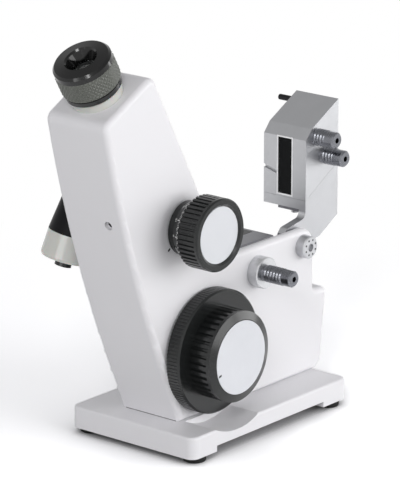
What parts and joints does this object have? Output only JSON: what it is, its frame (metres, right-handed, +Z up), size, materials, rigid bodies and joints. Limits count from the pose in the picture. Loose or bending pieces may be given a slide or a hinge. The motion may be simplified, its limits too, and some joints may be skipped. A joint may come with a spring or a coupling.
{
  "type": "abbe refractometer",
  "caption": "Bench refractometer: leaning housing with eyepiece, hinged prism box over a measuring prism, handwheel, dispersion knob and scale condenser on a flat base.",
  "frame": {"origin": "bottom centre of the whole instrument's box, on the surface under the feet", "axes": "+Z up, +X from the eyepiece towards the prism box, -Y the side with the knobs"},
  "size_m": [0.2184, 0.1012, 0.2383],
  "materials": {
    "white_paint": "semi-gloss powder coat",
    "white_plastic": "glossy warm white",
    "black_plastic": "satin black",
    "gloss_black": "glossy black",
    "silver_disc": "satin anodised",
    "nickel": "satin nickel plated",
    "steel": "machined",
    "dark_metal": "dark grey, satin",
    "brass": "turned",
    "rubber": "matt",
    "glass": "clear polished",
    "mirror": "silvered",
    "black_metal": "black anodised"
  },
  "bodies": {
    "stand": {"base_plate": "white_paint", "base_screws": "steel", "condenser_foot": "black_metal", "eyepiece_collar": "white_plastic", "fixed_lenses": "glass", "hinge_pin": "steel", "housing": "white_paint", "measuring_prism": "glass", "pivot_pins": "steel", "prism_seat": "dark_metal", "rear_step_screw": "black_metal", "reticle": "glass", "rubber_feet": "rubber", "scale_prism": "glass", "shaft_bushes": "brass", "side_cover": "white_paint", "side_cover_screws": "steel", "telescope_tube": "black_metal", "water_collars": "nickel", "water_nozzles": "nickel"},
    "upper_prism": {"hinge_block": "nickel", "prism_box": "nickel", "box_prism": "glass", "box_window": "glass", "slot_frame": "nickel", "box_nozzles": "nickel", "lift_pin": "black_metal", "keeper_plate": "dark_metal", "keeper_screw": "steel"},
    "handwheel": {"handwheel_flange": "black_plastic", "handwheel_grip": "black_plastic", "handwheel_disc": "silver_disc", "handwheel_shaft": "steel", "mirror_cam": "brass", "drive_gear": "brass"},
    "idler": {"idler_gear": "brass"},
    "scale": {"scale_gear": "brass", "scale_disc": "glass"},
    "mirror": {"mirror_lever": "black_metal", "cam_roller": "steel", "swing_mirror": "mirror"},
    "compensator": {"compensator_scale_ring": "black_plastic", "compensator_grip": "black_plastic", "compensator_disc": "silver_disc", "compensator_shaft": "steel"},
    "upper_cell": {"upper_prism_cell": "brass", "upper_dispersion_prism": "glass"},
    "lower_cell": {"lower_prism_cell": "brass", "lower_dispersion_prism": "glass"},
    "eyepiece": {"eyepiece_body": "black_plastic", "focus_ring": "black_plastic", "focus_grub_screw": "steel", "eyepiece_top_ring": "gloss_black", "eye_lens": "glass", "field_lens": "glass"},
    "condenser": {"condenser_cone": "gloss_black", "condenser_bell": "white_plastic", "condenser_lens_ring": "black_plastic", "condenser_lens": "glass"},
    "calibration": {"calibration_screw": "steel"}
  },
  "joints": [
    {"name": "prism_box_hinge", "type": "hinge", "parent": "stand", "child": "upper_prism", "pos_m": [0.06841, -0.00211, 0.0939], "axis": [0, -1, 0], "range_deg": [0, 90]},
    {"name": "handwheel_turn", "type": "hinge", "parent": "stand", "child": "handwheel", "pos_m": [-0.01819, -0.00211, 0.0543], "axis": [0, 1, 0], "range_deg": [-150, 150]},
    {"name": "idler_turn", "type": "hinge", "parent": "stand", "child": "idler", "pos_m": [-0.04175, -0.00211, 0.08663], "axis": [0, 1, 0], "range_deg": [-150, 150]},
    {"name": "scale_turn", "type": "hinge", "parent": "stand", "child": "scale", "pos_m": [-0.04979, -0.00211, 0.1307], "axis": [0, 1, 0], "range_deg": [-120.97, 120.97]},
    {"name": "mirror_tilt", "type": "hinge", "parent": "stand", "child": "mirror", "pos_m": [-0.00459, -0.00211, 0.03234], "axis": [0, 1, 0], "range_deg": [-6, 6]},
    {"name": "compensator_turn", "type": "hinge", "parent": "stand", "child": "compensator", "pos_m": [-0.03679, -0.00211, 0.1289], "axis": [0, 1, 0], "range_deg": [-180, 180]},
    {"name": "upper_cell_turn", "type": "hinge", "parent": "stand", "child": "upper_cell", "pos_m": [-0.03679, -0.00211, 0.1289], "axis": [-0.5, 0, 0.866], "range_deg": [-83.08, 83.08]},
    {"name": "lower_cell_turn", "type": "hinge", "parent": "stand", "child": "lower_cell", "pos_m": [-0.03679, -0.00211, 0.1289], "axis": [-0.5, 0, 0.866], "range_deg": [-83.08, 83.08]},
    {"name": "eyepiece_focus", "type": "hinge", "parent": "stand", "child": "eyepiece", "pos_m": [-0.08228, -0.00211, 0.20769], "axis": [-0.5, 0, 0.866], "range_deg": [-150, 150]},
    {"name": "condenser_swivel", "type": "hinge", "parent": "stand", "child": "condenser", "pos_m": [-0.05671, -0.00211, 0.14623], "axis": [0, 1, 0], "range_deg": [-45, 100]},
    {"name": "calibration_turn", "type": "hinge", "parent": "stand", "child": "calibration", "pos_m": [-0.08396, -0.01241, 0.13897], "axis": [0.9603, 0, 0.2788], "range_deg": [-180, 180]}
  ],
  "couplings": [
    {"joint": "idler_turn", "follows": "handwheel_turn", "ratio": -1},
    {"joint": "scale_turn", "follows": "handwheel_turn", "ratio": 0.80645},
    {"joint": "mirror_tilt", "follows": "handwheel_turn", "ratio": -0.04},
    {"joint": "upper_cell_turn", "follows": "compensator_turn", "ratio": 0.46154},
    {"joint": "lower_cell_turn", "follows": "compensator_turn", "ratio": -0.46154}
  ]
}
